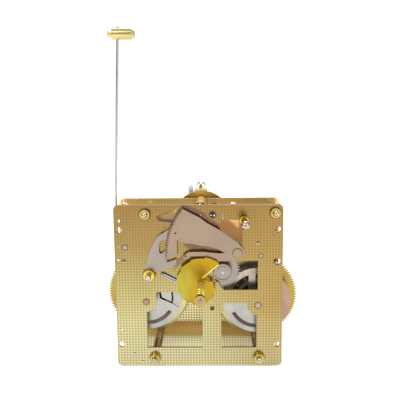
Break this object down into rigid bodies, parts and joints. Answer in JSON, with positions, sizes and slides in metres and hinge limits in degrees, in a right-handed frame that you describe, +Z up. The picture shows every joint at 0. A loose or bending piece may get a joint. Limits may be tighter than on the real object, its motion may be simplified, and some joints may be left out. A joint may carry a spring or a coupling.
{
  "type": "chain-driven clock movement",
  "caption": "Two-train chain-driven clock movement between square brass plates, with rack-and-snail striking, an anchor escapement and a tall bell hammer.",
  "frame": {"origin": "middle of the front plate's bottom edge, on the seat board, at the plate's mid thickness", "axes": "+X to the right seen from the front, +Y towards the back plate, +Z up the hammer rod"},
  "size_m": [0.1191, 0.0727, 0.2025],
  "materials": {
    "plate_brass": "satin",
    "wheel_brass": "satin",
    "snail_brass": "polished",
    "turned_brass": "polished",
    "steel": "satin",
    "lever_steel": "satin",
    "disc_steel": "satin",
    "polished_steel": "polished"
  },
  "bodies": {
    "frame": {"front_plate": "plate_brass", "back_plate": "plate_brass", "pillars": "polished_steel", "top_nuts": "turned_brass", "bottom_nuts": "turned_brass", "dial_post": "polished_steel", "studs": "polished_steel", "hook_post": "polished_steel", "stud_collars": "turned_brass", "hook_guard": "plate_brass", "verge_cock": "plate_brass", "cock_spacers": "steel", "top_sleeve": "turned_brass", "suspension_post": "turned_brass", "suspension_pin": "steel"},
    "time_great": {"time_great_arbor": "steel", "time_great_wheel": "wheel_brass", "time_click_spring": "steel"},
    "time_click": {"time_click": "steel"},
    "time_chain": {"time_chain_wheel": "disc_steel", "time_click_disc": "disc_steel"},
    "time_second": {"time_second_arbor": "steel", "time_second_wheel": "disc_steel", "front_drum": "polished_steel"},
    "centre": {"centre_arbor": "steel", "centre_wheel": "wheel_brass", "cannon_pinion": "wheel_brass", "hand_nut": "turned_brass"},
    "third": {"third_arbor": "steel", "third_wheel": "wheel_brass"},
    "escape": {"escape_arbor": "steel", "escape_wheel": "wheel_brass"},
    "verge": {"verge_arbor": "steel", "anchor": "steel", "crutch": "steel"},
    "minute": {"minute_wheel": "wheel_brass"},
    "hour": {"hour_wheel": "wheel_brass", "snail_hub": "snail_brass", "snail": "snail_brass"},
    "strike_great": {"strike_great_arbor": "steel", "strike_great_wheel": "wheel_brass", "strike_click_spring": "steel"},
    "strike_click": {"strike_click": "steel"},
    "strike_chain": {"strike_chain_wheel": "disc_steel", "strike_click_disc": "disc_steel"},
    "strike_second": {"strike_second_arbor": "steel", "strike_second_wheel": "wheel_brass"},
    "cam": {"cam_arbor": "steel", "cam_wheel": "wheel_brass", "hammer_cam": "steel"},
    "warning": {"warning_arbor": "steel", "warning_wheel": "wheel_brass"},
    "fly": {"fly_arbor": "steel", "fly": "wheel_brass"},
    "hammer": {"hammer_arbor": "steel", "hammer_rod": "steel", "hammer_head": "turned_brass"},
    "rack": {"rack": "lever_steel"},
    "rack_hook": {"rack_hook": "lever_steel"},
    "lifting_lever": {"lifting_lever": "lever_steel"}
  },
  "joints": [
    {"name": "escape_spin", "type": "hinge", "parent": "frame", "child": "escape", "pos_m": [0.0014, 0, 0.07826], "axis": [0, -1, 0], "continuous": true},
    {"name": "third_spin", "type": "hinge", "parent": "frame", "child": "third", "pos_m": [0.0014, 0, 0.0661], "axis": [0, -1, 0], "continuous": true},
    {"name": "centre_spin", "type": "hinge", "parent": "frame", "child": "centre", "pos_m": [0.0014, 0, 0.0525], "axis": [0, -1, 0], "continuous": true},
    {"name": "time_second_spin", "type": "hinge", "parent": "frame", "child": "time_second", "pos_m": [0.0142, 0, 0.0599], "axis": [0, -1, 0], "continuous": true},
    {"name": "time_great_spin", "type": "hinge", "parent": "frame", "child": "time_great", "pos_m": [0.0354, 0, 0.0384], "axis": [0, -1, 0], "continuous": true},
    {"name": "minute_spin", "type": "hinge", "parent": "frame", "child": "minute", "pos_m": [0.0006, 0, 0.06], "axis": [0, -1, 0], "continuous": true},
    {"name": "hour_spin", "type": "hinge", "parent": "frame", "child": "hour", "pos_m": [0.0014, 0, 0.0525], "axis": [0, -1, 0], "continuous": true},
    {"name": "fly_spin", "type": "hinge", "parent": "frame", "child": "fly", "pos_m": [-0.0198, 0, 0.0862], "axis": [0, -1, 0], "continuous": true},
    {"name": "warning_spin", "type": "hinge", "parent": "frame", "child": "warning", "pos_m": [-0.0228, 0, 0.0778], "axis": [0, -1, 0], "continuous": true},
    {"name": "cam_spin", "type": "hinge", "parent": "frame", "child": "cam", "pos_m": [-0.0213, 0, 0.0671], "axis": [0, -1, 0], "continuous": true},
    {"name": "strike_second_spin", "type": "hinge", "parent": "frame", "child": "strike_second", "pos_m": [-0.0105, 0, 0.0621], "axis": [0, -1, 0], "continuous": true},
    {"name": "strike_great_spin", "type": "hinge", "parent": "frame", "child": "strike_great", "pos_m": [-0.0318, 0, 0.0408], "axis": [0, -1, 0], "continuous": true},
    {"name": "wind_time", "type": "hinge", "parent": "time_great", "child": "time_chain", "pos_m": [0.0354, 0, 0.0384], "axis": [0, -1, 0], "continuous": true},
    {"name": "wind_strike", "type": "hinge", "parent": "strike_great", "child": "strike_chain", "pos_m": [-0.0318, 0, 0.0408], "axis": [0, -1, 0], "continuous": true},
    {"name": "verge_swing", "type": "hinge", "parent": "frame", "child": "verge", "pos_m": [0.0014, 0, 0.0939], "axis": [0, -1, 0], "range_deg": [-3, 3]},
    {"name": "hammer_lift", "type": "hinge", "parent": "frame", "child": "hammer", "pos_m": [-0.0432, 0, 0.0744], "axis": [0, -1, 0], "range_deg": [0, 8], "stiffness_Nm_per_rad": 0.02},
    {"name": "rack_drop", "type": "hinge", "parent": "frame", "child": "rack", "pos_m": [0.023, 0, 0.0715], "axis": [0, -1, 0], "range_deg": [0, 5]},
    {"name": "rack_hook_lift", "type": "hinge", "parent": "frame", "child": "rack_hook", "pos_m": [-0.0293, 0, 0.0586], "axis": [0, -1, 0], "range_deg": [0, 8]},
    {"name": "lifting_lever_lift", "type": "hinge", "parent": "frame", "child": "lifting_lever", "pos_m": [-0.0075, 0, 0.0505], "axis": [0, 1, 0], "range_deg": [0, 3]},
    {"name": "time_click_lift", "type": "hinge", "parent": "time_great", "child": "time_click", "pos_m": [0.03252, 0, 0.05475], "axis": [0, 1, 0], "range_deg": [0, 10], "stiffness_Nm_per_rad": 0.0001},
    {"name": "strike_click_lift", "type": "hinge", "parent": "strike_great", "child": "strike_click", "pos_m": [-0.03468, 0, 0.05715], "axis": [0, 1, 0], "range_deg": [0, 10], "stiffness_Nm_per_rad": 0.0001}
  ],
  "couplings": [
    {"joint": "third_spin", "follows": "escape_spin", "ratio": -0.125},
    {"joint": "centre_spin", "follows": "escape_spin", "ratio": 0.013889},
    {"joint": "time_second_spin", "follows": "escape_spin", "ratio": -0.0061728},
    {"joint": "time_great_spin", "follows": "escape_spin", "ratio": 0.0011574},
    {"joint": "minute_spin", "follows": "escape_spin", "ratio": -0.0046296},
    {"joint": "hour_spin", "follows": "escape_spin", "ratio": 0.0011574},
    {"joint": "warning_spin", "follows": "fly_spin", "ratio": -0.14286},
    {"joint": "cam_spin", "follows": "fly_spin", "ratio": 0.017857},
    {"joint": "strike_second_spin", "follows": "fly_spin", "ratio": -0.0029762},
    {"joint": "strike_great_spin", "follows": "fly_spin", "ratio": 0.00055804}
  ]
}
